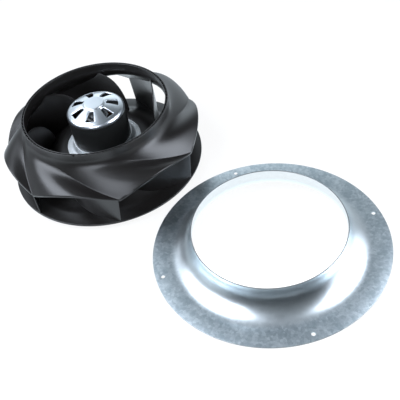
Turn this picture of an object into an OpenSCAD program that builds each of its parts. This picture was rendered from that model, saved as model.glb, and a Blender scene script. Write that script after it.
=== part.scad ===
// Motorised backward-curved impeller with its inlet ring, in millimetres.
// Origin: centre of the motor flange face. +Z points along the shaft to the inlet.

/* [Impeller] */
// Outer radius of the wavy shroud
tip_r = 121; // [100:0.5:150]
// Shroud height above the motor flange at a blade tip
tip_z = 45.5; // [35:0.5:55]
// How far the shroud arches up between two blade tips
sail_rise = 14; // [4:0.5:18]
// Slope of the shroud at a blade tip
shroud_slope = 33; // [25:0.5:40]
// Shroud wall at the outer edge
shroud_t = 2.6; // [1.5:0.1:4]
// Bore of the inlet collar
eye_r = 85.3; // [75:0.1:90]
// Wall of the inlet collar, balance groove included
collar_wall = 3.5; // [3:0.1:5]
// Height of the joint between shroud and collar
collar_base = 83; // [76:0.5:85]
// Height of the collar rim
collar_top = 91; // [86:0.5:100]
// Width of the balance groove in the rim
groove_w = 1.4; // [1:0.1:2]
// Depth of the balance groove
groove_depth = 4; // [2:0.5:6]
// Number of pockets in the balance groove
groove_pockets = 84; // [36:1:120]
// Width of the index notch in the rim
notch_w = 2.4; // [1:0.1:4]
// Blade angle from the tangent
blade_angle = 28.5; // [24:0.5:40]
// Greatest blade thickness
blade_t = 2.4; // [1.6:0.1:4]
// Blade thickness at the leading and trailing edges
blade_edge_t = 1.2; // [0.8:0.1:1.6]
// Leading edge radius at the back plate
lead_r = 65.5; // [58:0.5:75]
// Setback of the trailing edge from the rims
tip_inset = 1; // [0.8:0.1:4]
// Weld line left between blades, shroud and back plate
weld_gap = 0.15; // [0.1:0.01:0.3]

/* [Back plate and hub disc] */
// Outer radius of the back plate
plate_r = 119; // [100:0.5:150]
// Back plate wall
plate_t = 2.5; // [1.5:0.1:4]
// Height of the top of the back plate at its rim
plate_z = 10; // [8:0.5:16]
// Radius where the flat rim begins to rise
plate_flat_r = 104; // [90:0.5:110]
// Outer radius of the steel hub disc inside the moulding
disc_r = 51; // [48:0.5:56]
// Hub disc sheet thickness
disc_t = 1.2; // [0.8:0.1:2]
// Height of the top of the hub disc
disc_z = 37.2; // [34:0.1:40]
// Radius of the hub disc left open by the moulding
disc_open_r = 46.3; // [43:0.1:47]
// Moulded lip above and below the hub disc
lip_t = 1.2; // [0.8:0.1:2]
// Radius of the stiffening bead on the hub disc
bead_r = 39.8; // [39:0.1:42]
// Round of the stiffening bead
bead_round = 1.3; // [0.8:0.1:1.6]
// Length of the hub disc collar on the rotor
disc_collar = 8; // [5:0.5:10]

/* [Rotor] */
// Outer radius of the rotor bell
bell_r = 35.3; // [34.5:0.1:36.5]
// Bell sheet thickness
bell_t = 1.4; // [1:0.1:2]
// Height of the crown of the bell
bell_top = 95.3; // [92:0.1:99]
// Radius of the bell dome
dome_r = 73.7; // [60:0.1:120]
// Round of the bell top edge
bell_edge = 6.4; // [4:0.1:8]
// Height of the open end of the bell
bell_low = 24; // [20:0.5:26]
// Radius of the raised centre of the bell
boss_r = 12.6; // [11:0.1:13]
// Height of the flat raised centre above the dome at its edge
boss_h = 1.2; // [1.2:0.1:2]
// Number of cooling slots
slot_count = 7; // [5:1:9]
// Inner radius of the cooling slots
slot_in_r = 14.6; // [14.2:0.1:17]
// Outer radius of the cooling slots
slot_out_r = 28.6; // [24:0.1:29.5]
// Angle taken by one cooling slot
slot_angle = 20; // [12:0.5:26]
// Corner round of the cooling slots
slot_round = 1.1; // [0.6:0.1:1.6]
// Depth of the turned-in slot edges below the dome
slot_lip = 2.6; // [2:0.1:4]
// Number of cage bars
bar_count = 22; // [16:1:28]
// Cage bar diameter
bar_d = 3.2; // [2:0.1:4]
// Radial width of the rotor core
rotor_core_w = 8; // [7:0.1:9]
// Height of the cage end rings
end_ring_h = 3; // [2:0.5:4]
// Shaft diameter
shaft_d = 8; // [6:0.5:9]
// Radius of the bush that holds the shaft in the bell
bush_r = 9; // [7:0.5:11]
// Gap between the bush and the bearing tube
bush_gap = 2.5; // [1.5:0.1:4]
// Length of the shaft end below the lower bearing
shaft_end = 2.5; // [2:0.1:3]
// Depth of the circlip groove in the shaft
clip_depth = 0.5; // [0.3:0.05:0.8]
// Circlip thickness
clip_t = 0.85; // [0.6:0.05:1]
// Radial width of the circlip outside the shaft
clip_w = 2.2; // [1.5:0.1:3]
// Opening of the circlip
clip_gap = 3; // [2:0.1:4]

/* [Stator] */
// Height of the lower end of the cores
core_z = 36; // [35.5:0.5:40]
// Core height
core_h = 26; // [15:0.5:27]
// Air gap between stator and rotor
air_gap = 0.35; // [0.25:0.05:0.6]
// Tooth width
tooth_w = 6; // [4:0.5:7]
// Yoke width between the bearing tube and the slots
yoke_w = 4; // [3:0.5:4.5]
// Depth of the pole tips
pole_tip = 2.2; // [1.5:0.1:3]
// Slot opening between two pole tips
slot_opening = 3; // [2:0.5:4]
// Thickness of the end insulators and of the slot lining
insulation = 0.6; // [0.4:0.1:1]
// Coil thickness around a tooth
coil_t = 3; // [1.5:0.1:3.2]

/* [Bearings] */
// Bearing outer diameter
bearing_od = 22; // [19:0.5:22]
// Bearing width
bearing_w = 7; // [5:0.5:8]
// Ball diameter
ball_d = 3.97; // [3:0.01:4.2]
// Number of balls in one bearing
ball_count = 7; // [6:1:8]
// Running clearance between balls and races
ball_clear = 0.04; // [0.02:0.01:0.08]
// Height of the lower bearing
lower_bearing_z = 9; // [8:0.5:12]
// Height of the upper bearing
upper_bearing_z = 68; // [64:0.5:70]

/* [Motor flange] */
// Flange radius
flange_r = 39; // [36:0.5:44]
// Flange thickness
flange_t = 6; // [5:0.5:7]
// Outer radius of the bearing tube
tube_r = 13; // [12.5:0.1:14]
// Gap between the flange cup and the rotor bell
cup_gap = 1.4; // [1:0.1:2]
// Wall of the flange cup
cup_wall = 3; // [2:0.5:4]
// Height of the flange cup
cup_top = 28; // [26:0.5:30]
// Pitch circle of the mounting screws
screw_pcd = 50; // [48:0.5:51]
// Core hole of the mounting screws
screw_d = 3.3; // [2.5:0.1:4.2]
// Depth of the mounting screw holes
screw_depth = 12; // [8:0.5:14]
// Cable diameter that the grommet takes
cable_d = 5; // [4:0.5:6]
// Distance of the cable grommet from the axis
cable_r = 21; // [20:0.5:22]

/* [Inlet ring] */
// Width of the flat flange
ring_flange_w = 20; // [16:0.5:40]
// Sheet thickness of the ring
ring_t = 1; // [0.6:0.1:2]
// Radius of the trumpet curve
ring_curve = 26; // [15:0.5:30]
// Height of the ring
ring_h = 33; // [31:0.5:45]
// Radial gap between the ring neck and the impeller eye when fitted
nozzle_gap = 1.3; // [0.8:0.1:3]
// Clearance between the ring lying beside the impeller and the blade tips
ring_gap = 0.6; // [0.4:0.1:20]
// Diameter of the ring fixing holes
ring_hole_d = 4.5; // [3.5:0.1:6]
// Distance of the ring fixing holes from the flange edge
ring_hole_edge = 8; // [5:0.5:10]
// Angle of the first ring fixing hole
ring_hole_angle = 55.7; // [0:0.1:90]

/* [Hidden] */
$fn = 96;

steel = [0.78, 0.82, 0.85];
zinc = [0.62, 0.69, 0.73];
black = [0.14, 0.14, 0.15];
alloy = [0.66, 0.67, 0.68];
copper = [0.62, 0.34, 0.16];
lamination = [0.36, 0.37, 0.39];
resin = [0.85, 0.84, 0.78];

// Clearance of pieces pressed or snapped together
seat_clear = 0.02;
// Clearance of the hub disc inside the moulding
insert_clear = 0.05;

blade_count = 7;
pitch = 360 / blade_count;
tooth_count = 8;
tooth_pitch = 360 / tooth_count;
// Direction of the first blade tip, seen from the inlet
tip_angle = 324.9;
sail_steps = 16;
flow_steps = 14;
chord_steps = 16;
span_steps = 6;
plate_steps = 20;

collar_r = eye_r + collar_wall;
shroud_span = tip_r - collar_r;
// Pull of the shroud section at the edge and at the collar
edge_pull = 0.68 * shroud_span;
collar_pull = 0.37 * (collar_base - tip_z);
// How far the valleys turn on towards the collar, where they fade out
valley_bend = 10.7;
// Leading edge position below the shroud, as a share of the shroud section
lead_share = 0.84;

lip_top = disc_z + lip_t;
hub_r = disc_r + 2;
bell_in_r = bell_r - bell_t;
dome_z = bell_top - dome_r;
bell_ceiling = dome_z + sqrt(pow(dome_r - bell_t, 2) - pow(shaft_d / 2, 2)) - seat_clear;
first_slot = tip_angle - 20.4;
bush_z = upper_bearing_z + bearing_w;
rotor_in_r = bell_in_r - rotor_core_w;
stator_r = rotor_in_r - air_gap;
core_top = core_z + core_h;
slot_floor_r = tube_r + yoke_w;
coil_clear = 0.3;
coil_half = tooth_w / 2 + insulation + coil_t;
coil_out_r = sqrt(pow(stator_r - pole_tip - coil_clear, 2) - pow(coil_half, 2));
coil_in_r = slot_floor_r + coil_clear;
shaft_r = shaft_d / 2;
clip_clear = 0.05;
clip_z = lower_bearing_z - clip_clear - clip_t;
bearing_r = bearing_od / 2;
ball_pitch_r = (bearing_r + shaft_r) / 2;
race_half = 1.4;
tube_bore_r = bearing_r - 1.5;
washer_t = 0.9;
washer_clear = 0.05;
upper_seat_z = upper_bearing_z - washer_t - 2 * washer_clear;
tube_top = bush_z + 1;
cap_recess = 2.2;
cap_r = tube_r + 0.4;
cup_r = bell_in_r - cup_gap;
grommet_r = cable_d / 2 + 1;
channel_h = flange_t / 2;
boss_wall = 3.4;
boss_top = screw_depth + 2;
neck_r = eye_r - nozzle_gap;
curve_r = neck_r + ring_curve;
ring_r = curve_r + ring_flange_w;
ring_x = max(tip_r, plate_r) + ring_r + ring_gap;

// Shroud form: share 0 is the outer edge, share 1 is the collar, which the section meets upright.

function flow_station(i) = 1 - pow(i / flow_steps, 1.5);
function bent(from, leave, meet, to, x) = from * pow(1 - x, 3) + 3 * leave * x * pow(1 - x, 2)
    + 3 * meet * x * x * (1 - x) + to * pow(x, 3);
function lean(share) = 90 * pow(share, 1.5);
function outer_r(share) = bent(tip_r, tip_r - edge_pull * cos(shroud_slope), collar_r, collar_r, share);
function reach(share) = (tip_r - outer_r(share)) / shroud_span;
function inner_r(share) = outer_r(share) - collar_wall * sin(lean(share));
function swirl(r) = -180 / PI / tan(blade_angle) * ln(tip_r / r);
function valley(share) = swirl(inner_r(share)) - valley_bend * pow(reach(share), 6);
function valley_z(share) =
    bent(tip_z, tip_z + edge_pull * sin(shroud_slope), collar_base - collar_pull, collar_base, share);
function sail(share) = sail_rise * (1 - pow(reach(share), 1.5));
function over_z(share, turn) = valley_z(share) + sail(share) * sin(180 * turn);
function under_z(share, turn) = over_z(share, turn) - shroud_t * cos(lean(share));
function inner_share(r, low = 0, high = 1, n = 24) = let (share = (low + high) / 2)
    n == 0 ? share : inner_r(share) > r ? inner_share(r, share, high, n - 1)
    : inner_share(r, low, share, n - 1);
function part_of(x) = x - floor(x);
function under_at(r, angle) = let (share = inner_share(r))
    under_z(share, part_of((angle - tip_angle - valley(share)) / pitch));

// Back plate form: flat rim, then a rise to the lip around the hub disc.

function plate_share(r) = min(1, max(0, (plate_flat_r - r) / (plate_flat_r - hub_r)));
function smooth(x) = x * x * (3 - 2 * x);
function plate_top(r) = plate_z + (lip_top - plate_z) * smooth(plate_share(r));
function plate_under(r) = plate_top(r) - plate_t * (1 + 0.25 * sin(180 * plate_share(r)));

// Blade form: chord 0 is the leading edge, span 0 is the back plate.

lead_head_r = inner_r(lead_share);
function blade_half(chord) = (blade_edge_t + (blade_t - blade_edge_t) * sin(180 * chord)) / 2;
function offset_point(r, angle, half) =
    [r * cos(angle) + half * cos(angle - blade_angle), r * sin(angle) + half * sin(angle - blade_angle)];
function under_beside(r, half) = let (p = offset_point(r, tip_angle + swirl(r), half))
    under_at(norm(p), atan2(p[1], p[0]));
function root_r(chord) = lead_r + (plate_r - tip_inset - lead_r) * chord;
function root_z(chord) = plate_top(root_r(chord) - blade_half(chord)) + weld_gap;
function head_r(chord) = lead_head_r + (tip_r - tip_inset - lead_head_r) * chord;
function head_z(chord, side) = let (r = head_r(chord))
    min(under_beside(r, 0), under_beside(r, side * blade_half(chord))) - weld_gap;
function bow_r(span) = (head_r(0) - root_r(0)) * (1 - cos(90 * span) - span);
function bow_z(span, side) = (head_z(0, side) - root_z(0)) * (sin(90 * span) - span);
function blade_r(chord, span) =
    root_r(chord) * (1 - span) + head_r(chord) * span + bow_r(span) * (1 - chord);
function blade_z(chord, span, side) =
    root_z(chord) * (1 - span) + head_z(chord, side) * span + bow_z(span, side) * (1 - chord);
function blade_point(chord, span, side) =
    let (r = blade_r(chord, span), p = offset_point(r, tip_angle + swirl(r), side * blade_half(chord)))
    [p[0], p[1], blade_z(chord, span, side)];

// A closed grid: columns run round the second index, rows round or along the first.

function quad(a, b, c, d, flip) = flip ? [[a, b, c], [a, c, d]] : [[a, b, d], [b, c, d]];

module ring(outer, inner, low, high) {
    difference() {
        translate([0, 0, low]) cylinder(r = outer, h = high - low);
        translate([0, 0, low - 1]) cylinder(r = inner, h = high - low + 2);
    }
}

module rounded_polygon(points, radius) {
    last = len(points) - 1;
    polygon(points);
    for (i = [0 : last]) {
        a = points[i];
        b = points[i == last ? 0 : i + 1];
        side = radius * [b[1] - a[1], a[0] - b[0]] / norm(b - a);
        polygon([a, a + side, b + side, b]);
        translate(a) circle(r = radius);
    }
}

module motor_flange() {
    color(alloy) difference() {
        union() {
            cylinder(r = flange_r, h = flange_t);
            cylinder(r = tube_r - seat_clear, h = tube_top);
            ring(cup_r, cup_r - cup_wall, 0, cup_top);
            intersection() {
                cylinder(r = cup_r - cup_wall / 2, h = boss_top);
                for (a = [0 : 90 : 270])
                    rotate(a) translate([screw_pcd / 2, 0, 0])
                        cylinder(r = boss_wall + screw_d / 2, h = boss_top);
            }
        }
        translate([0, 0, -1]) cylinder(r = tube_bore_r, h = tube_top + 2);
        translate([0, 0, -1]) cylinder(r = bearing_r + seat_clear, h = lower_bearing_z + bearing_w + 1);
        translate([0, 0, upper_seat_z]) cylinder(r = bearing_r + seat_clear, h = bearing_w + 5);
        translate([0, 0, -1]) cylinder(r = cap_r, h = cap_recess + 1);
        for (a = [0 : 90 : 270])
            rotate(a) translate([screw_pcd / 2, 0, -1]) cylinder(r = screw_d / 2, h = screw_depth + 1);
        rotate(45) {
            translate([cable_r, 0, -1]) cylinder(r = grommet_r + seat_clear, h = flange_t + 2);
            translate([cable_r, -grommet_r - seat_clear, -1])
                cube([flange_r, 2 * (grommet_r + seat_clear), channel_h + 1]);
        }
    }
}

module bottom_cap() {
    color(black) rotate_extrude() difference() {
        translate([0, 0.3]) square([cap_r - seat_clear, cap_recess - 0.35]);
        translate([0, -1]) square([cap_r - 3, 2]);
    }
}

module cable_grommet() {
    color(black) rotate(45) translate([cable_r, 0, 0]) {
        ring(grommet_r, cable_d / 2, channel_h, flange_t + 1.4);
        ring(grommet_r + 0.9, cable_d / 2, flange_t + seat_clear, flange_t + 1.4);
    }
}

module core_section() {
    difference() {
        union() {
            circle(r = slot_floor_r);
            for (i = [0 : tooth_count - 1])
                rotate(i * tooth_pitch) translate([0, -tooth_w / 2])
                    square([stator_r - pole_tip / 2, tooth_w]);
            difference() {
                circle(r = stator_r);
                circle(r = stator_r - pole_tip);
                for (i = [0 : tooth_count - 1])
                    rotate((i + 0.5) * tooth_pitch) translate([0, -slot_opening / 2])
                        square([stator_r + 1, slot_opening]);
            }
        }
        circle(r = tube_r);
    }
}

module stator_core() {
    color(lamination) translate([0, 0, core_z]) linear_extrude(core_h) core_section();
}

module insulator_lower() {
    color(resin) translate([0, 0, core_z - insulation]) linear_extrude(insulation) core_section();
}

module insulator_upper() {
    color(resin) translate([0, 0, core_top]) linear_extrude(insulation) core_section();
}

module coil_outline(grow) {
    half = tooth_w / 2 + insulation;
    low = core_z - insulation - seat_clear;
    high = core_top + insulation + seat_clear;
    corners = [[-half, low], [half, low], [half, high], [-half, high]];
    if (grow > 0)
        rounded_polygon(corners, grow);
    else
        polygon(corners);
}

module coil(i) {
    color(copper) rotate((i - 1) * tooth_pitch) translate([coil_in_r, 0, 0]) rotate([90, 0, 90])
        linear_extrude(coil_out_r - coil_in_r) difference() {
            coil_outline(coil_t);
            coil_outline(0);
        }
}

module coil_1() { coil(1); }
module coil_2() { coil(2); }
module coil_3() { coil(3); }
module coil_4() { coil(4); }
module coil_5() { coil(5); }
module coil_6() { coil(6); }
module coil_7() { coil(7); }
module coil_8() { coil(8); }

module race(r_from, r_to, low) {
    rotate_extrude() difference() {
        translate([r_from, low]) square([r_to - r_from, bearing_w]);
        translate([ball_pitch_r, low + bearing_w / 2]) circle(r = ball_d / 2 + ball_clear);
    }
}

module bearing_outer_lower() {
    color(steel) race(ball_pitch_r + race_half, bearing_r, lower_bearing_z);
}

module bearing_outer_upper() {
    color(steel) race(ball_pitch_r + race_half, bearing_r, upper_bearing_z);
}

module bearing_inner_lower() {
    color(steel) race(shaft_r + seat_clear, ball_pitch_r - race_half, lower_bearing_z);
}

module bearing_inner_upper() {
    color(steel) race(shaft_r + seat_clear, ball_pitch_r - race_half, upper_bearing_z);
}

module ball_set(low) {
    translate([0, 0, low + bearing_w / 2]) {
        ring(ball_pitch_r + 0.5, ball_pitch_r - 0.5, -0.8, 0.8);
        for (i = [0 : ball_count - 1])
            rotate(i * 360 / ball_count) translate([ball_pitch_r, 0, 0]) sphere(d = ball_d);
    }
}

module ball_set_lower() {
    color(steel) ball_set(lower_bearing_z);
}

module ball_set_upper() {
    color(steel) ball_set(upper_bearing_z);
}

module preload_washer() {
    color(steel) translate([0, 0, upper_seat_z + washer_clear])
        ring(bearing_r - 0.1, tube_bore_r + 0.1, 0, washer_t);
}

module shaft() {
    color(steel) difference() {
        translate([0, 0, lower_bearing_z - shaft_end])
            cylinder(r = shaft_r, h = bell_ceiling - lower_bearing_z + shaft_end);
        ring(shaft_r + 1, shaft_r - clip_depth, clip_z - clip_clear, lower_bearing_z);
    }
}

module circlip() {
    color(steel) difference() {
        ring(shaft_r + clip_w, shaft_r - clip_depth + seat_clear, clip_z, clip_z + clip_t);
        translate([0, -clip_gap / 2, clip_z - clip_t]) cube([shaft_r + 2 * clip_w, clip_gap, 3 * clip_t]);
    }
}

module shaft_bush() {
    color(alloy) difference() {
        intersection() {
            union() {
                translate([0, 0, tube_top + bush_gap])
                    cylinder(r = bush_r, h = bell_top - tube_top - bush_gap);
                translate([0, 0, bush_z])
                    cylinder(r = ball_pitch_r - race_half - 0.4, h = tube_top + 2 * bush_gap - bush_z);
            }
            translate([0, 0, dome_z]) sphere(r = dome_r - bell_t - seat_clear);
        }
        translate([0, 0, upper_bearing_z]) cylinder(r = shaft_r + seat_clear, h = bell_top);
    }
}

module bell_profile(wall) {
    edge = bell_edge - wall;
    dome = dome_r - wall;
    edge_r = bell_r - bell_edge;
    edge_z = dome_z + sqrt(pow(dome - edge, 2) - pow(edge_r, 2));
    touch_r = dome * edge_r / (dome - edge);
    translate([0, bell_low]) square([bell_r - wall, edge_z - bell_low]);
    translate([edge_r, edge_z]) intersection() {
        circle(r = edge);
        square(edge + 1);
    }
    intersection() {
        translate([0, dome_z]) circle(r = dome);
        translate([0, edge_z]) square([touch_r, bell_top - edge_z]);
    }
}

module slot_outline(grow) {
    half = slot_angle / 2;
    in_w = slot_in_r * tan(half) - slot_round;
    out_w = slot_out_r * tan(half) - slot_round;
    rounded_polygon([
        [slot_in_r + slot_round, -in_w], [slot_out_r - slot_round, -out_w],
        [slot_out_r - slot_round, out_w], [slot_in_r + slot_round, in_w]
    ], slot_round + grow);
}

module slots(grow) {
    for (i = [0 : slot_count - 1])
        rotate(first_slot + i * 360 / slot_count) translate([0, 0, bell_top - 3 * bell_edge])
            linear_extrude(4 * bell_edge) slot_outline(grow);
}

module rotor_bell() {
    boss_z = dome_z + sqrt(pow(dome_r, 2) - pow(boss_r, 2));
    color(steel) difference() {
        union() {
            rotate_extrude() difference() {
                union() {
                    bell_profile(0);
                    translate([0, boss_z - bell_t / 2]) square([boss_r, bell_t / 2 + boss_h]);
                }
                bell_profile(bell_t);
                translate([0, bell_low - 1]) square([bell_in_r, 2]);
            }
            difference() {
                intersection() {
                    slots(0.9);
                    translate([0, 0, dome_z]) sphere(r = dome_r - bell_t / 2);
                }
                translate([0, 0, dome_z]) sphere(r = dome_r - slot_lip);
            }
        }
        slots(0);
    }
}

module rotor_core() {
    color(lamination) difference() {
        ring(bell_in_r - seat_clear, rotor_in_r, core_z, core_top);
        for (i = [0 : bar_count - 1])
            rotate(i * 360 / bar_count) translate([rotor_in_r + rotor_core_w / 2, 0, core_z - 1])
                cylinder(d = bar_d + 2 * seat_clear, h = core_h + 2);
    }
}

module rotor_cage() {
    color(alloy) {
        for (low = [core_z - end_ring_h, core_top])
            ring(bell_in_r - 0.5, rotor_in_r + 0.4, low, low + end_ring_h);
        for (i = [0 : bar_count - 1])
            rotate(i * 360 / bar_count) translate([rotor_in_r + rotor_core_w / 2, 0, core_z - 1])
                cylinder(d = bar_d, h = core_h + 2);
    }
}

module hub_disc() {
    color(zinc) rotate_extrude() {
        translate([bell_r + seat_clear, disc_z - disc_t]) square([disc_r - bell_r - seat_clear, disc_t]);
        translate([bell_r + seat_clear, disc_z - disc_collar]) square([disc_t, disc_collar]);
        translate([bead_r, disc_z - bead_round / 3]) circle(r = bead_round);
    }
}

module back_plate() {
    rise = [for (i = [0 : plate_steps]) hub_r + (plate_flat_r - hub_r) * i / plate_steps];
    lip_low = disc_z - disc_t - lip_t;
    color(black) rotate_extrude() difference() {
        polygon(concat(
            [[disc_open_r, lip_top]],
            [for (r = rise) [r, plate_top(r)]],
            [[plate_r, plate_z], [plate_r, plate_z - plate_t]],
            [for (i = [plate_steps : -1 : 0]) [rise[i], plate_under(rise[i])]],
            [[hub_r, lip_low], [disc_open_r, lip_low]]
        ));
        translate([disc_open_r - 1, disc_z - disc_t - insert_clear])
            square([disc_r + insert_clear - disc_open_r + 1, disc_t + 2 * insert_clear]);
    }
}

module blade(i) {
    columns = chord_steps + 1;
    sheet = columns * (span_steps + 1);
    points = [for (side = [-1, 1]) for (s = [0 : span_steps]) for (c = [0 : chord_steps])
        blade_point(c / chord_steps, s / span_steps, side)];
    walls = [for (side = [0, 1]) for (s = [0 : span_steps - 1]) for (c = [0 : chord_steps - 1])
        let (k = side * sheet + s * columns + c)
        each side == 0 ? quad(k, k + columns, k + columns + 1, k + 1, true)
            : quad(k, k + 1, k + columns + 1, k + columns, true)];
    long_edges = [for (s = [0, span_steps]) for (c = [0 : chord_steps - 1])
        let (k = s * columns + c)
        each s == 0 ? quad(k, k + 1, k + sheet + 1, k + sheet, true)
            : quad(k, k + sheet, k + sheet + 1, k + 1, true)];
    end_edges = [for (c = [0, chord_steps]) for (s = [0 : span_steps - 1])
        let (k = s * columns + c)
        each c == 0 ? quad(k, k + sheet, k + sheet + columns, k + columns, true)
            : quad(k, k + columns, k + sheet + columns, k + sheet, true)];
    color(black) rotate((i - 1) * pitch) polyhedron(points, concat(walls, long_edges, end_edges));
}

module blade_1() { blade(1); }
module blade_2() { blade(2); }
module blade_3() { blade(3); }
module blade_4() { blade(4); }
module blade_5() { blade(5); }
module blade_6() { blade(6); }
module blade_7() { blade(7); }

module shroud() {
    loop = 2 * (flow_steps + 1);
    count = blade_count * sail_steps;
    points = [for (j = [0 : count - 1]) for (m = [0 : loop - 1])
        let (
            outside = m <= flow_steps,
            share = flow_station(outside ? m : loop - 1 - m),
            turn = j / sail_steps,
            angle = tip_angle + valley(share) + turn * pitch,
            r = outside ? outer_r(share) : inner_r(share),
            z = outside ? over_z(share, part_of(turn)) : under_z(share, part_of(turn))
        )
        [r * cos(angle), r * sin(angle), z]];
    faces = [for (j = [0 : count - 1]) for (m = [0 : loop - 1])
        let (here = j * loop, there = (j + 1) % count * loop, n = (m + 1) % loop)
        each quad(here + m, there + m, there + n, here + n, m > flow_steps)];
    color(black) polyhedron(points, faces);
}

module inlet_collar() {
    groove_r = eye_r + (collar_wall - groove_w) / 2;
    color(black) difference() {
        ring(collar_r, eye_r, collar_base + seat_clear, collar_top);
        difference() {
            ring(groove_r + groove_w, groove_r, collar_top - groove_depth, collar_top + 1);
            for (i = [0 : groove_pockets - 1])
                rotate(i * 360 / groove_pockets)
                    translate([groove_r - 1, -0.5, collar_top - groove_depth - 1])
                        cube([groove_w + 2, 1, groove_depth + 0.4]);
        }
        rotate(tip_angle - 23.7) translate([groove_r + groove_w / 2, -notch_w / 2, collar_top - 1.2])
            cube([collar_wall, notch_w, 2]);
    }
}

module inlet_ring() {
    color(zinc) translate([ring_x, 0, 0]) difference() {
        rotate_extrude() {
            translate([curve_r, 0]) square([ring_r - curve_r, ring_t]);
            translate([curve_r, ring_curve + ring_t]) intersection() {
                difference() {
                    circle(r = ring_curve + ring_t);
                    circle(r = ring_curve);
                }
                translate([-ring_curve - 2, -ring_curve - 2]) square(ring_curve + 2);
            }
            translate([neck_r - ring_t, ring_curve + ring_t])
                square([ring_t, ring_h - ring_curve - ring_t]);
        }
        for (a = [0 : 90 : 270])
            rotate(ring_hole_angle + a) translate([ring_r - ring_hole_edge, 0, -1])
                cylinder(d = ring_hole_d, h = ring_t + 2);
    }
}

motor_flange();
bottom_cap();
cable_grommet();
stator_core();
insulator_lower();
insulator_upper();
coil_1();
coil_2();
coil_3();
coil_4();
coil_5();
coil_6();
coil_7();
coil_8();
bearing_outer_lower();
bearing_outer_upper();
preload_washer();
ball_set_lower();
ball_set_upper();
bearing_inner_lower();
bearing_inner_upper();
shaft();
circlip();
shaft_bush();
rotor_bell();
rotor_core();
rotor_cage();
hub_disc();
back_plate();
blade_1();
blade_2();
blade_3();
blade_4();
blade_5();
blade_6();
blade_7();
shroud();
inlet_collar();
inlet_ring();
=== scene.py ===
import math

import bmesh
import bpy
from mathutils import Matrix, Vector


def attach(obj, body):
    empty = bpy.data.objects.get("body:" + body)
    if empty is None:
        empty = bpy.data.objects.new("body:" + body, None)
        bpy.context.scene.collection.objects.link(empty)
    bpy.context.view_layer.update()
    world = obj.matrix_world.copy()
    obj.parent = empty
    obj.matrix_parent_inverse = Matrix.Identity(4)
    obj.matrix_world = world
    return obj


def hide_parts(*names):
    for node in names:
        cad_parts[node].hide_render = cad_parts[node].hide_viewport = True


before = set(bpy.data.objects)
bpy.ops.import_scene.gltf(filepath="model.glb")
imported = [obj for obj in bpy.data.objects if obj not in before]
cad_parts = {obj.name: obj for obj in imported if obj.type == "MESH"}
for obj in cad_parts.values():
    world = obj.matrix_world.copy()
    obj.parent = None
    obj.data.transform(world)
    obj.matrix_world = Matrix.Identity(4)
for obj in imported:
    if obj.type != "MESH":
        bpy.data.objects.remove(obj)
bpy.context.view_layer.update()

# Camera.
# It stands to the front right of the set and looks down on it, a little rolled, so that one blade tip of the
# impeller points straight at it and the inlet ring lies in the lower right of the picture.

camera = bpy.data.objects.new("camera", bpy.data.cameras.new("camera"))
camera.data.sensor_fit = "HORIZONTAL"
camera.data.sensor_width = 36
camera.data.lens = 60.37
camera_right = Vector((0.7621, 0.6357, -0.1223))
camera_up = Vector((-0.3927, 0.6042, 0.6934))
camera_back = camera_right.cross(camera_up)
camera_turn = Matrix((camera_right, camera_up, camera_back)).transposed().to_4x4()
camera.matrix_world = Matrix.Translation((0.5519, -0.3721, 0.5653)) @ camera_turn
bpy.context.scene.collection.objects.link(camera)
bpy.context.scene.camera = camera
bpy.context.scene.view_settings.view_transform = "Standard"

# Table and light.
# The set lies on a white table before a white wall. A large soft lamp hangs high on the left, and smaller lamps and
# a screen stand close by on the other sides. The room is dim, with pale walls behind the set and on its left.


class Shade:
    """A socket of a node tree that can be reckoned with like a number."""

    def __init__(self, tree, socket=None):
        self.tree = tree
        self.socket = socket

    def node(self, kind, settings=None, values=None, output=0):
        made = self.tree.nodes.new(kind)
        for name, setting in (settings or {}).items():
            setattr(made, name, setting)
        for name, value in (values or {}).items():
            if isinstance(value, Shade):
                self.tree.links.new(value.socket, made.inputs[name])
            else:
                made.inputs[name].default_value = value
        return Shade(self.tree, made.outputs[output])

    def reckon(self, operation, first, second):
        return self.node("ShaderNodeMath", {"operation": operation}, {0: first, 1: second})

    def __add__(self, other):
        return self.reckon("ADD", self, other)

    def __sub__(self, other):
        return self.reckon("SUBTRACT", self, other)

    def __rsub__(self, other):
        return self.reckon("SUBTRACT", other, self)

    def __mul__(self, other):
        return self.reckon("MULTIPLY", self, other)

    __radd__ = __add__
    __rmul__ = __mul__

    def rise(self, low, high):
        """0 where the value is below low, 1 above high, smooth between them."""
        return self.node("ShaderNodeMapRange", {"interpolation_type": "SMOOTHSTEP"},
                         {"Value": self, "From Min": low, "From Max": high})

    def colours(self, low, high):
        """The colour low where the value is 0, and high where it is 1."""
        return self.node("ShaderNodeMix", {"data_type": "RGBA"}, {0: self, 6: low, 7: high}, output=2)

    def noise(self, scale, detail=3.0, roughness=0.55):
        return self.node("ShaderNodeTexNoise", None,
                         {"Vector": self, "Scale": scale, "Detail": detail, "Roughness": roughness})


def new_material(name):
    """A material, and the Object coordinates on which its pattern is laid."""
    material = bpy.data.materials.new(name)
    material.use_nodes = True
    return material, Shade(material.node_tree).node("ShaderNodeTexCoord", output="Object")


def surface(material, height=None, bump=0.0, **values):
    """Feeds the surface shader of a material; height is the relief in metres times bump."""
    shader = material.node_tree.nodes["Principled BSDF"]
    for name, value in values.items():
        socket = shader.inputs[name.replace("_", " ")]
        if isinstance(value, Shade):
            material.node_tree.links.new(value.socket, socket)
        else:
            socket.default_value = value
    if height is not None:
        relief = height.node("ShaderNodeBump", None, {"Strength": 1.0, "Distance": bump, "Height": height})
        material.node_tree.links.new(relief.socket, shader.inputs["Normal"])


def put(name, bm, material):
    """An object at the origin with the mesh, smooth but for its sharp edges."""
    for face in bm.faces:
        face.smooth = True
    mesh = bpy.data.meshes.new(name)
    bm.to_mesh(mesh)
    bm.free()
    mesh.set_sharp_from_angle(angle=math.radians(38))
    mesh.materials.append(material)
    made = bpy.data.objects.new(name, mesh)
    bpy.context.scene.collection.objects.link(made)
    return made


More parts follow.
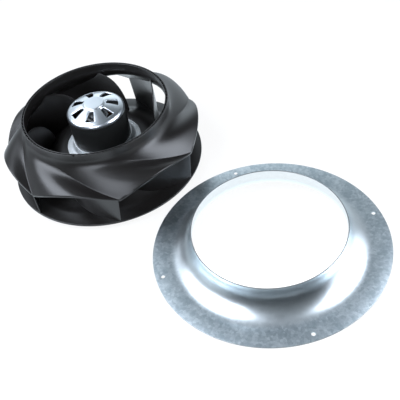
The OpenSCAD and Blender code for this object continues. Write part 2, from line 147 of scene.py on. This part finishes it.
table_paint, place = new_material("table_paint")
mottle = place.noise(40.0)
surface(table_paint, Base_Color=mottle.colours((0.095, 0.095, 0.095, 1), (0.105, 0.105, 0.105, 1)),
        Roughness=0.85, Emission_Color=(1.0, 1.0, 1.0, 1.0), Emission_Strength=0.88)
table_mesh = bmesh.new()
bmesh.ops.create_grid(table_mesh, x_segments=4, y_segments=4, size=4.0)
bmesh.ops.translate(table_mesh, verts=table_mesh.verts, vec=(0, 0, -0.0004))
table = put("table", table_mesh, table_paint)
table.visible_glossy = False
wall_mesh = bmesh.new()
bmesh.ops.create_cone(wall_mesh, segments=96, radius1=3.6, radius2=3.6, depth=7.0)
wall = put("wall", wall_mesh, table_paint)
wall.visible_glossy = wall.visible_diffuse = wall.visible_shadow = False

# Painted light: a disc inside the inlet ring glows brighter than the table around it, to paint out the shade that the
# ring casts on the table there.
ring_x, painted_glow_r = 251.6, 83.0
painted_glow_mesh = bmesh.new()
bmesh.ops.create_circle(painted_glow_mesh, cap_ends=True, segments=64, radius=painted_glow_r / 1000,
                        matrix=Matrix.Translation((ring_x / 1000, 0, -0.0002)))
painted_glow_paint, place = new_material("painted_glow_paint")
surface(painted_glow_paint, Base_Color=(0.1, 0.1, 0.1, 1), Roughness=0.8 + 0.1 * place.noise(60.0),
        Emission_Color=(1.0, 1.0, 1.0, 1.0), Emission_Strength=1.05)
put("painted_glow_in_ring", painted_glow_mesh, painted_glow_paint)

middle = Vector((0.12, 0.0, 0.05))
for name, azimuth, elevation, distance, size, power in (
    ("lamp_left", 228, 47, 1.6, (1.39, 1.2), 40.0),
    ("lamp_right", 25, 28, 0.53, (0.33, 0.30), 2.4),
    ("screen_right", 35, 14, 0.57, (0.56, 0.54), 1.9),
    ("lamp_front", 285, 31, 0.35, (0.18, 0.18), 0.55),
    ("lamp_back", 175, 38, 0.54, (0.2, 0.2), 0.2),
):
    lamp = bpy.data.objects.new(name, bpy.data.lights.new(name, "AREA"))
    lamp.data.shape = "RECTANGLE"
    lamp.data.size, lamp.data.size_y = size
    lamp.data.energy = power
    lamp.data.color = (0.84, 0.90, 1.0)
    turn = Matrix.Rotation(math.radians(azimuth), 4, "Z") @ Matrix.Rotation(math.radians(90 - elevation), 4, "Y")
    lamp.matrix_world = Matrix.Translation(middle) @ turn @ Matrix.Translation((0, 0, distance))
    bpy.context.scene.collection.objects.link(lamp)

room = bpy.data.worlds.new("room")
room.use_nodes = True
bpy.context.scene.world = room
look = Shade(room.node_tree).node("ShaderNodeTexCoord", output="Generated")
light = 0.02
for azimuth, elevation, focus, brightness in (
    (60, -20, 9, 0.9), (140, 18, 9, 1.3), (115, -5, 9, 0.9), (172, 48, 6, 0.12),
    (180, -20, 6, 0.77), (228, -15, 12, 0.8), (300, 40, 6, 0.15), (0, 70, 6, 0.10),
):
    across, up = math.cos(math.radians(elevation)), math.sin(math.radians(elevation))
    aim = (across * math.cos(math.radians(azimuth)), across * math.sin(math.radians(azimuth)), up)
    facing = look.node("ShaderNodeVectorMath", {"operation": "DOT_PRODUCT"}, {0: look, 1: aim}, output=1)
    glow = look.node("ShaderNodeMath", {"operation": "EXPONENT"}, {0: focus * (facing - 1.0)})
    light = brightness * glow + light
height = look.node("ShaderNodeSeparateXYZ", None, {0: look}, output=2)
table_side = height.rise(-0.30, -0.42)
light = table_side * 1.5 + (1.0 - table_side) * light
air = look.node("ShaderNodeVectorMath", {"operation": "SCALE"}, {0: (0.87, 0.97, 1.05), "Scale": light})
room.node_tree.links.new(air.socket, room.node_tree.nodes["Background"].inputs["Color"])

# Motor flange with its cap and cable grommet.
# The flange is an aluminium pressure casting with the bearing tube in one piece; four screws hold it to a bracket.
# A black cap is snapped over the shaft end, and a rubber grommet sits where the cable leaves.


def dress(nodes, material):
    for node in nodes:
        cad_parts[node].material_slots[0].material = material


cast_alloy, place = new_material("cast_alloy")
grain = place.noise(900.0, 4.0)
flow = place.noise(45.0)
surface(cast_alloy, grain, 0.00012, Metallic=1.0, Roughness=0.38 + 0.22 * flow,
        Base_Color=flow.colours((0.50, 0.51, 0.52, 1), (0.66, 0.67, 0.68, 1)))
dress(["motor_flange", "shaft_bush"], cast_alloy)

cap_plastic, place = new_material("cap_plastic")
grain = place.noise(1500.0)
surface(cap_plastic, grain, 0.00004, Roughness=0.45 + 0.2 * grain,
        Base_Color=grain.colours((0.012, 0.012, 0.013, 1), (0.024, 0.024, 0.026, 1)))
dress(["bottom_cap"], cap_plastic)

grommet_rubber, place = new_material("grommet_rubber")
dust = place.noise(500.0)
surface(grommet_rubber, dust, 0.00003, Roughness=0.75 + 0.15 * dust,
        Base_Color=dust.colours((0.010, 0.010, 0.010, 1), (0.030, 0.029, 0.028, 1)))
dress(["cable_grommet"], grommet_rubber)

# Stator: core, end insulators and coils.
# The core is a stack of varnished steel laminations pressed on the bearing tube. Moulded insulators cover its
# ends, and a coil of enamelled copper wire is wound on every tooth.

lamination = 0.0007
core_iron, place = new_material("core_iron")
level = place.node("ShaderNodeSeparateXYZ", None, {0: place}, output=2)
sheets = level.node("ShaderNodeMath", {"operation": "SINE"}, {0: level * (2 * math.pi / lamination)})
varnish = place.noise(160.0)
surface(core_iron, sheets, 0.00004, Metallic=0.8, Roughness=0.40 + 0.2 * varnish,
        Base_Color=varnish.colours((0.12, 0.12, 0.13, 1), (0.26, 0.25, 0.24, 1)))
dress(["stator_core", "rotor_core"], core_iron)

insulator_resin, place = new_material("insulator_resin")
cloud = place.noise(120.0)
surface(insulator_resin, place.noise(1200.0), 0.00002, Roughness=0.42 + 0.15 * cloud,
        Base_Color=cloud.colours((0.020, 0.026, 0.026, 1), (0.034, 0.042, 0.041, 1)))
dress(["insulator_lower", "insulator_upper"], insulator_resin)

winding_copper, place = new_material("winding_copper")
wires = place.node("ShaderNodeTexWave", {"bands_direction": "DIAGONAL"},
                   {"Vector": place, "Scale": 620.0, "Distortion": 1.2, "Detail": 1.0})
surface(winding_copper, wires, 0.00012, Metallic=1.0, Roughness=0.26 + 0.2 * wires,
        Base_Color=wires.colours((0.14, 0.05, 0.02, 1), (0.30, 0.14, 0.06, 1)))
dress([f"coil_{number}" for number in range(1, 9)], winding_copper)

# Bearings, shaft and rotor cage.
# Two ball bearings of hardened steel carry the ground shaft, which a circlip holds below and a bush joins to the
# bell. The cage bars and end rings are cast into the rotor laminations in aluminium.

ground_steel, place = new_material("ground_steel")
stretched = place.node("ShaderNodeMapping", None, {"Vector": place, "Scale": (1.0, 1.0, 12.0)})
marks = stretched.noise(700.0, 5.0)
surface(ground_steel, marks, 0.00001, Metallic=1.0, Roughness=0.16 + 0.16 * marks,
        Base_Color=marks.colours((0.58, 0.59, 0.60, 1), (0.74, 0.75, 0.76, 1)))
dress(["bearing_outer_lower", "bearing_outer_upper", "preload_washer", "ball_set_lower", "ball_set_upper",
       "bearing_inner_lower", "bearing_inner_upper", "shaft", "circlip"], ground_steel)
dress(["rotor_cage"], cast_alloy)

# Rotor bell.
# A deep-drawn steel cup that turns outside the stator. Its zinc-plated top has a raised middle and cooling slots
# with turned-in edges; the side below the drawn round is lacquered black.

bell_r, bell_low, bell_top, bell_edge, dome_r = 35.3, 24.0, 95.3, 6.4, 73.7
slots, slot_in, slot_out, slot_half = 7, 14.6, 28.6, math.radians(10)
slot_round, slot_roll, slot_depth = 1.1, 1.1, 2.6
boss_r, boss_h, slot_field_in, slot_field_out = 12.6, 1.2, 12.95, 30.2
edge_r, dome_z = bell_r - bell_edge, bell_top - dome_r
edge_z = dome_z + math.sqrt((dome_r - bell_edge)**2 - edge_r**2)
tip_angle = math.radians(324.9)
slot_pitch = 2 * math.pi / slots
first_slot = tip_angle - math.radians(20.4)


def loop(bm, points):
    """A closed loop of edges through points in millimetres."""
    verts = [bm.verts.new(Vector(point) / 1000) for point in points]
    return [bm.edges.new(pair) for pair in zip(verts, verts[1:] + verts[:1])]


def turned(bm, section, steps, start=0.0, closed=True):
    """Turns a section of (radius, height) points in millimetres once round the shaft axis."""
    across = (math.cos(start), math.sin(start))
    verts = [bm.verts.new((r * across[0] / 1000, r * across[1] / 1000, z / 1000)) for r, z in section]
    pairs = list(zip(verts, verts[1:] + verts[:1] if closed else verts[1:]))
    edges = [bm.edges.new(pair) for pair in pairs]
    bmesh.ops.spin(bm, geom=verts + edges, cent=(0, 0, 0), axis=(0, 0, 1), angle=2 * math.pi, steps=steps,
                   use_merge=True)
    bmesh.ops.remove_doubles(bm, verts=bm.verts, dist=1e-6)
    bmesh.ops.recalc_face_normals(bm, faces=bm.faces)


def arc(centre, radius, low, high, steps):
    """Points of a round in a section, from one angle to another in degrees."""
    angles = [math.radians(low + (high - low) * step / steps) for step in range(steps + 1)]
    return [(centre[0] + radius * math.cos(a), centre[1] + radius * math.sin(a)) for a in angles]


def bell_height(r):
    return dome_z + math.sqrt(dome_r**2 - r**2)


def slot_edge(grow):
    """Outline of a cooling slot, made wider by grow, as points in the plane."""
    wide_in = slot_in * math.tan(slot_half) - slot_round
    wide_out = slot_out * math.tan(slot_half) - slot_round
    corners = [Vector(c) for c in ((slot_in + slot_round, -wide_in), (slot_out - slot_round, -wide_out),
                                   (slot_out - slot_round, wide_out), (slot_in + slot_round, wide_in))]
    sides = [corners[(i + 1) % 4] - corners[i] for i in range(4)]
    outward = [math.atan2(-side.x, side.y) for side in sides]
    points = []
    for i in range(4):
        turn = (outward[i] - outward[i - 1]) % (2 * math.pi)
        rounds = [outward[i - 1] + turn * step / 6 for step in range(7)]
        points += [corners[i] + (slot_round + grow) * Vector((math.cos(a), math.sin(a))) for a in rounds]
        away = (slot_round + grow) * Vector((math.cos(outward[i]), math.sin(outward[i])))
        points += [corners[i] + away + sides[i] * step / 6 for step in range(1, 6)]
    return points[3:] + points[:3]


def slot_field():
    """Outline of the seventh of the bell top around one slot."""
    corners = ((slot_field_in, -0.5), (slot_field_out, -0.5), (slot_field_out, 0.5), (slot_field_in, 0.5))
    points = []
    for i in range(4):
        (r0, t0), (r1, t1) = corners[i], corners[(i + 1) % 4]
        for step in range(12):
            r = r0 + (r1 - r0) * step / 12
            angle = (t0 + (t1 - t0) * step / 12) * slot_pitch
            points.append(Vector((r * math.cos(angle), r * math.sin(angle))))
    return points


zinc_plate, place = new_material("zinc_plate")
around = place.noise(55.0, 4.0, 0.6)
flat = place.node("ShaderNodeVectorMath", {"operation": "MULTIPLY"}, {0: place, 1: (1, 1, 0)})
from_axis = flat.node("ShaderNodeVectorMath", {"operation": "LENGTH"}, {0: flat}, output=1)
middle_face = 1.0 - from_axis.rise(0.0105, 0.0122)
surface(zinc_plate, around, 0.00002, Metallic=1.0, Roughness=0.28 + 0.04 * around + 0.10 * middle_face,
        Base_Color=around.colours((0.62, 0.68, 0.73, 1), (0.81, 0.85, 0.89, 1)))
bell_lacquer, place = new_material("bell_lacquer")
haze = place.noise(70.0, 4.0)
surface(bell_lacquer, place.noise(1100.0, 2.0), 0.00002, Roughness=0.29 + 0.14 * haze,
        Base_Color=haze.colours((0.010, 0.011, 0.011, 1), (0.020, 0.020, 0.019, 1)))

bell = bmesh.new()
rolls = [(slot_roll * (1 - math.sin(a)), slot_roll * (1 - math.cos(a))) for a in
         (math.radians(18 * step) for step in range(6))] + [(0.0, slot_depth)]
edges = loop(bell, [(*point, bell_top) for point in slot_field()])
for grow, drop in rolls:
    next_edges = loop(bell, [(*point, bell_top - drop) for point in slot_edge(grow)])
    bmesh.ops.bridge_loops(bell, edges=edges + next_edges)
    edges = next_edges
for vert in bell.verts:
    vert.co.z -= (bell_top - bell_height(1000 * vert.co.xy.length)) / 1000
bmesh.ops.rotate(bell, verts=bell.verts, cent=(0, 0, 0), matrix=Matrix.Rotation(first_slot, 3, "Z"))
bmesh.ops.spin(bell, geom=bell.verts[:] + bell.edges[:] + bell.faces[:], cent=(0, 0, 0), axis=(0, 0, 1),
               angle=2 * math.pi * (slots - 1) / slots, steps=slots - 1, use_duplicate=True)
bmesh.ops.remove_doubles(bell, verts=bell.verts, dist=1e-6)
boss_z = bell_height(boss_r) + boss_h
boss = [(slot_field_in, bell_height(slot_field_in)), (12.78, boss_z - 1.12), (12.62, boss_z - 0.95),
        (12.4, boss_z - 0.52), (12.0, boss_z - 0.2), (11.4, boss_z - 0.05), (10.4, boss_z), (6.0, boss_z),
        (0.0, boss_z)]
turned(bell, boss, 12 * slots, first_slot - slot_pitch / 2, closed=False)
touch = math.degrees(math.acos(edge_r / (dome_r - bell_edge)))
side = arc((0, dome_z), dome_r, math.degrees(math.acos(slot_field_out / dome_r)), touch, 3)[:-1]
side += arc((edge_r, edge_z), bell_edge, touch, 0, 12)
side += [(bell_r, z) for z in (82.2, 80.0, 60.0, 40.0, bell_low)]
turned(bell, side, 12 * slots, first_slot - slot_pitch / 2, closed=False)
rotor_bell = put("bell_shell", bell, zinc_plate)
rotor_bell.data.materials.append(bell_lacquer)
for face in rotor_bell.data.polygons:
    face.material_index = int(face.center.z < (edge_z + 0.05) / 1000 and face.center.xy.length > 0.034)
bell_wall = rotor_bell.modifiers.new("sheet", "SOLIDIFY")
bell_wall.thickness = 0.0012
bell_wall.offset = -1
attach(rotor_bell, "rotor")
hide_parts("rotor_bell")

# Hub disc.
# A pressed disc of galvanised sheet with a flared collar on the bell and a crease around it. Its edge is moulded
# into the back plate, so only the ring around the bell can be seen.

disc_z, disc_t, disc_r, collar_down = 37.2, 1.2, 51.0, 8.0
flare, flare_top, crease_r, crease_depth = 5.0, 9.0, 43.0, 0.35


def zinc_crystals(place, spangle):
    """The crystals and clouds of a zinc coating: how bright they are, from 0 to 1, and how much duller."""
    crystal = place.node("ShaderNodeTexVoronoi", None, {"Vector": place, "Scale": spangle, "Randomness": 1.0},
                         output=1)
    shade = crystal.node("ShaderNodeSeparateColor", None, {0: crystal})
    cloud = place.noise(26.0, 5.0, 0.65)
    fine = place.noise(420.0, 4.0, 0.6)
    return (0.22 * shade + 0.50 * cloud + 0.45 * fine).rise(0.35, 0.90), 0.02 * shade + 0.05 * cloud


disc_zinc, place = new_material("disc_zinc")
bright, dull = zinc_crystals(place, 420.0)
surface(disc_zinc, Metallic=1.0, Roughness=0.48 + dull,
        Base_Color=bright.colours((0.79, 0.83, 0.85, 1), (0.95, 0.96, 0.97, 1)))
hub = bmesh.new()
collar_in, collar_out = bell_r + 0.03, bell_r + 0.03 + disc_t
section = [(collar_in, disc_z + flare_top), (collar_out, disc_z + flare_top)]
section += arc((collar_out + flare, disc_z + flare), flare, 180, 270, 10)
section += [(crease_r - 0.4, disc_z), (crease_r - 0.2, disc_z - crease_depth)]
section += [(crease_r + 0.2, disc_z - crease_depth), (crease_r + 0.4, disc_z)]
section += [(disc_r, disc_z), (disc_r, disc_z - disc_t), (collar_out, disc_z - disc_t)]
section += [(collar_out, disc_z - collar_down), (collar_in, disc_z - collar_down)]
turned(hub, section, 168)
hub_disc = put("hub_sheet", hub, disc_zinc)
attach(hub_disc, "rotor")
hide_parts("hub_disc")

# Back plate.
# Moulded in glass-filled black plastic around the hub disc. From its flat rim it rises in a smooth dish to the lip
# that grips the disc, and the blades stand on it.

plate_r, plate_t, plate_z, plate_flat_r, lip_t, disc_open_r = 119.0, 2.5, 10.0, 104.0, 1.2, 46.3
hub_r, lip_top = disc_r + 2, disc_z + lip_t
disc_under, lip_under, grip = disc_z - disc_t, disc_z - disc_t - lip_t, 0.05


def plate_share(r):
    return min(1.0, max(0.0, (plate_flat_r - r) / (plate_flat_r - hub_r)))


def plate_top(r):
    share = plate_share(r)
    return plate_z + (lip_top - plate_z) * share * share * (3 - 2 * share)


def plate_under(r):
    return plate_top(r) - plate_t * (1 + 0.25 * math.sin(math.pi * plate_share(r)))


def round_off(bm, width, where):
    """Rounds the sharp edges of a mesh where a test of their ends holds, as a mould leaves them."""
    edges = [edge for edge in bm.edges
             if edge.calc_face_angle(0) > 0.7 and all(where(vert.co) for vert in edge.verts)]
    bmesh.ops.bevel(bm, geom=edges, offset=width, offset_type="OFFSET", segments=3, profile=0.5, affect="EDGES",
                    material=-1)


black_plastic, place = new_material("black_plastic")
skin = place.noise(1600.0, 3.0)
patches = place.noise(38.0, 4.0, 0.6)
handling = place.noise(190.0, 4.0, 0.7)
surface(black_plastic, skin, 0.000018, Specular_IOR_Level=0.5,
        Base_Color=patches.colours((0.0065, 0.0057, 0.0053, 1), (0.0105, 0.0093, 0.0088, 1)),
        Roughness=0.28 + 0.06 * patches + 0.03 * handling)

plate = bmesh.new()
rise_r = [hub_r + (plate_flat_r - hub_r) * step / 40 for step in range(41)]
section = [(disc_open_r, lip_top)] + [(r, plate_top(r)) for r in rise_r]
section += [(plate_r, plate_z), (plate_r, plate_z - plate_t)] + [(r, plate_under(r)) for r in reversed(rise_r)]
section += [(hub_r - 0.2, lip_under), (disc_open_r, lip_under), (disc_open_r, disc_under - grip)]
section += [(disc_r + grip, disc_under - grip), (disc_r + grip, disc_z + grip), (disc_open_r, disc_z + grip)]
turned(plate, section, 224)
round_off(plate, 0.0008, lambda spot: spot.xy.length > 0.118 or spot.z > 0.0383)
back_plate = put("plate_moulding", plate, black_plastic)
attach(back_plate, "rotor")
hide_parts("back_plate")

# Blades.
# Seven backward-curved blades of the same moulding. Each is a spiral sheet that stands on the back plate and runs
# up into a valley of the shroud, thin at both edges and with a rounded, swept leading edge.

tip_r, tip_z, sail_rise, shroud_t = 121.0, 45.5, 14.0, 2.6
eye_r, collar_wall, collar_base, shroud_slope = 85.3, 3.5, 83.0, math.radians(33)
blade_count, blade_angle, valley_bend = 7, math.radians(28.5), math.radians(10.7)
blade_t, blade_edge_t, lead_r, tip_inset, lead_share = 2.4, 1.2, 65.5, 1.0, 0.84
pitch = 2 * math.pi / blade_count
collar_r = eye_r + collar_wall
shroud_span = tip_r - collar_r
edge_pull, collar_pull = 0.68 * shroud_span, 0.37 * (collar_base - tip_z)


def lean(share):
    return math.pi / 2 * share**1.5


def bent(start, leave, meet, end, x):
    """A value along a smooth bend that leaves its start and meets its end along given arms."""
    return start * (1 - x)**3 + 3 * leave * x * (1 - x)**2 + 3 * meet * x**2 * (1 - x) + end * x**3


def outer_r(share):
    return bent(tip_r, tip_r - edge_pull * math.cos(shroud_slope), collar_r, collar_r, share)


def reach(share):
    return (tip_r - outer_r(share)) / shroud_span


def inner_r(share):
    return outer_r(share) - collar_wall * math.sin(lean(share))


def swirl(r):
    return -math.log(tip_r / r) / math.tan(blade_angle)


def valley(share):
    return swirl(inner_r(share)) - valley_bend * reach(share)**6


def arch(turn):
    """Rise of a sail between two valleys, which are rounded out by about a millimetre."""
    across = math.sin(math.pi * (turn % 1))
    return (math.hypot(across, 0.025) - 0.025) / (math.hypot(1, 0.025) - 0.025)


def over_z(share, turn):
    ground = bent(tip_z, tip_z + edge_pull * math.sin(shroud_slope), collar_base - collar_pull, collar_base, share)
    return ground + sail_rise * (1 - reach(share)**1.5) * arch(turn)


def under_z(share, turn):
    return over_z(share, turn) - shroud_t * math.cos(lean(share))


def under_at(r, angle):
    """Height of the underside of the shroud at a radius and an angle."""
    share, half = 0.5, 0.25
    for step in range(24):
        share += half if inner_r(share) > r else -half
        half /= 2
    return under_z(share, (angle - tip_angle - valley(share)) / pitch)


def blade_half(chord):
    return (blade_edge_t + (blade_t - blade_edge_t) * math.sin(math.pi * chord)) / 2


def beside(r, half):
    angle = tip_angle + swirl(r)
    return Vector((r * math.cos(angle) + half * math.cos(angle - blade_angle),
                   r * math.sin(angle) + half * math.sin(angle - blade_angle)))


def root(chord):
    r = lead_r + (plate_r - tip_inset - lead_r) * chord
    return r, plate_top(r) - 0.3


def head(chord):
    r = inner_r(lead_share) * (1 - chord) + (tip_r - tip_inset) * chord
    spots = [beside(r, half) for half in (-blade_half(chord), 0, blade_half(chord))]
    return r, max(under_at(spot.length, math.atan2(spot.y, spot.x)) for spot in spots) + 0.2


def blade_point(chord, span, side):
    (r0, z0), (r1, z1) = root(chord), head(chord)
    (lead_r0, lead_z0), (lead_r1, lead_z1) = root(0), head(0)
    bow_r = (lead_r1 - lead_r0) * (1 - math.cos(math.pi / 2 * span) - span)
    bow_z = (lead_z1 - lead_z0) * (math.sin(math.pi / 2 * span) - span)
    spot = beside(r0 + (r1 - r0) * span + bow_r * (1 - chord), side * blade_half(chord))
    return Vector((*spot, z0 + (z1 - z0) * span + bow_z * (1 - chord))) / 1000


def laid_grid(bm, columns, rows, spot):
    """A grid with its points laid where spot(u, v) says, both from 0 to 1."""
    made = bmesh.ops.create_grid(bm, x_segments=columns, y_segments=rows, size=0.5)
    for vert in made["verts"]:
        vert.co = spot(vert.co.x + 0.5, vert.co.y + 0.5)


blade = bmesh.new()
for side in (-1, 1):
    laid_grid(blade, 44, 16, lambda u, v: blade_point(u, v, side))
bmesh.ops.bridge_loops(blade, edges=[edge for edge in blade.edges if edge.is_boundary])
bmesh.ops.recalc_face_normals(blade, faces=blade.faces)
round_off(blade, 0.0004, lambda spot: True)
for number in range(1, blade_count + 1):
    piece = put(f"blade_{number}_moulding", blade.copy(), black_plastic)
    piece.data.transform(Matrix.Rotation((number - 1) * pitch, 4, "Z"))
    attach(piece, "rotor")
    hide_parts(f"blade_{number}")
blade.free()

# Shroud.
# The upper wall of the impeller, moulded in black plastic and welded to the blades. It dips into a valley over
# every blade, arches up like a sail in between, and fades into the round inlet collar.


def sail_point(u, v, below):
    share = 1 - (1 - v**1.3)**1.5
    turn = u - 0.88 * math.sin(2 * math.pi * u) / (2 * math.pi)
    angle = tip_angle + valley(share) + turn * pitch
    r = inner_r(share) if below else outer_r(share)
    z = under_z(share, turn) if below else over_z(share, turn)
    return Vector((r * math.cos(angle), r * math.sin(angle), z)) / 1000


sails = bmesh.new()
for below in (False, True):
    laid_grid(sails, 44, 30, lambda u, v: sail_point(u, v, below))
outer_rims = [edge for edge in sails.edges if all(vert.co.xy.length > 0.1209 for vert in edge.verts)]
collar_rims = [edge for edge in sails.edges if all(vert.co.z > 0.08299 for vert in edge.verts)]
bmesh.ops.bridge_loops(sails, edges=outer_rims)
bmesh.ops.bridge_loops(sails, edges=collar_rims)
bmesh.ops.spin(sails, geom=sails.verts[:] + sails.edges[:] + sails.faces[:], cent=(0, 0, 0), axis=(0, 0, 1),
               angle=2 * math.pi * (blade_count - 1) / blade_count, steps=blade_count - 1, use_duplicate=True)
bmesh.ops.remove_doubles(sails, verts=sails.verts, dist=1e-6)
bmesh.ops.recalc_face_normals(sails, faces=sails.faces)
round_off(sails, 0.0008, lambda spot: spot.xy.length > 0.1209)
shroud = put("shroud_moulding", sails, black_plastic)
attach(shroud, "rotor")
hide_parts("shroud")

# Inlet collar.
# The round mouth of the impeller. A narrow groove in its rim is split into pockets for balance weights, and one
# small notch in the outer wall marks the first of them.

collar_top, groove_w, groove_depth, groove_pockets, notch_w = 91.0, 1.4, 4.0, 84, 2.4
groove_r = eye_r + (collar_wall - groove_w) / 2
groove_out, groove_floor, notch_floor = groove_r + groove_w, collar_top - groove_depth, collar_top - 1.2
collar = bmesh.new()
section = [(eye_r, collar_base + 0.02), (collar_r, collar_base + 0.02), (collar_r, notch_floor), (collar_r, collar_top)]
section += [(groove_out, collar_top), (groove_out, notch_floor), (groove_out, groove_floor)]
section += [(groove_r, groove_floor), (groove_r, collar_top), (eye_r, collar_top)]
turned(collar, section, 720)
notch_angle = tip_angle - math.radians(23.7) - 2 * math.pi
for vert in collar.verts:
    off = math.remainder(math.atan2(vert.co.y, vert.co.x) - notch_angle, 2 * math.pi)
    in_outer_wall = vert.co.z > 0.0905 and vert.co.xy.length > (groove_r + groove_w / 2) / 1000
    if abs(off) * collar_r < notch_w / 2 and in_outer_wall:
        vert.co.z -= 0.0011
round_off(collar, 0.00035, lambda spot: spot.z > 0.0895)
for number in range(groove_pockets):
    turn = Matrix.Rotation(2 * math.pi * number / groove_pockets, 4, "Z")
    size = Matrix.Diagonal((groove_w / 1000 + 0.0001, 0.001, 0.0033, 1))
    spot = Matrix.Translation(((groove_r + groove_w / 2) / 1000, 0, (collar_top - 2.35) / 1000))
    bmesh.ops.create_cube(collar, size=1.0, matrix=turn @ spot @ size)
inlet_collar = put("collar_moulding", collar, black_plastic)
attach(inlet_collar, "rotor")
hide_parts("inlet_collar")

# Inlet ring.
# Galvanised sheet drawn into a trumpet that leads the air into the impeller, burnished where the die has drawn it.
# The flat flange is screwed to the housing through four holes; here it lies on the table with its neck upwards.

ring_t, ring_curve, ring_h, ring_flange_w = 1.0, 26.0, 33.0, 20.0
ring_hole_d, ring_hole_edge, ring_hole_angle = 4.5, 8.0, math.radians(55.7)
neck_r = eye_r - 1.3
curve_r = neck_r + ring_curve
ring_r = curve_r + ring_flange_w

ring_zinc, place = new_material("ring_zinc")
centred = place.node("ShaderNodeMapping", {"vector_type": "POINT"},
                     {"Vector": place, "Location": (-ring_x / 1000, 0, 0)})
bright, dull = zinc_crystals(centred, 300.0)
flat = centred.node("ShaderNodeVectorMath", {"operation": "MULTIPLY"}, {0: centred, 1: (1, 1, 0)})
from_axis = flat.node("ShaderNodeVectorMath", {"operation": "LENGTH"}, {0: flat}, output=1)
level = centred.node("ShaderNodeSeparateXYZ", None, {0: centred}, output=2)
burnished = 1.0 - from_axis.rise(curve_r / 1000 - 0.010, curve_r / 1000 + 0.002)
neck_cut = level.rise(ring_h / 1000 - 0.0005, ring_h / 1000 - 0.0003)
flange_cut = from_axis.rise(ring_r / 1000 - 0.0003, ring_r / 1000 - 0.0001)
coating = bright.colours((0.36, 0.43, 0.47, 1), (0.65, 0.71, 0.74, 1))
drawn = (0.85 * burnished).colours(coating, (0.72, 0.775, 0.80, 1))
surface(ring_zinc, Metallic=1.0, Roughness=0.33 + dull - 0.05 * burnished,
        Base_Color=(neck_cut + flange_cut).colours(drawn, (0.30, 0.32, 0.33, 1)))
trumpet = bmesh.new()
bend = (curve_r, ring_curve + ring_t)
section = [(ring_r, 0), (curve_r, 0)] + arc(bend, ring_curve + ring_t, -90, -180, 40)[1:]
section += [(neck_r - ring_t, ring_h), (neck_r, ring_h)] + arc(bend, ring_curve, -180, -90, 40) + [(ring_r, ring_t)]
turned(trumpet, section, 288)
round_off(trumpet, 0.0002, lambda spot: True)
bmesh.ops.translate(trumpet, verts=trumpet.verts, vec=(ring_x / 1000, 0, 0))
inlet_ring = put("ring_sheet", trumpet, ring_zinc)
drill = bmesh.new()
for quarter in range(4):
    angle = ring_hole_angle + quarter * math.pi / 2
    hole_r = ring_r - ring_hole_edge
    spot = Vector((ring_x + hole_r * math.cos(angle), hole_r * math.sin(angle), 0)) / 1000
    bmesh.ops.create_cone(drill, cap_ends=True, segments=40, radius1=ring_hole_d / 2000, radius2=ring_hole_d / 2000,
                          depth=0.01, matrix=Matrix.Translation(spot))
drills = put("drills", drill, ring_zinc)
holes = inlet_ring.modifiers.new("holes", "BOOLEAN")
holes.object = drills
holes.solver = "EXACT"
bpy.context.view_layer.update()
drilled = bpy.data.meshes.new_from_object(inlet_ring.evaluated_get(bpy.context.evaluated_depsgraph_get()))
inlet_ring.modifiers.clear()
drilled.set_sharp_from_angle(angle=math.radians(38))
inlet_ring.data = drilled
bpy.data.objects.remove(drills)
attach(inlet_ring, "ring")
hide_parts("inlet_ring")
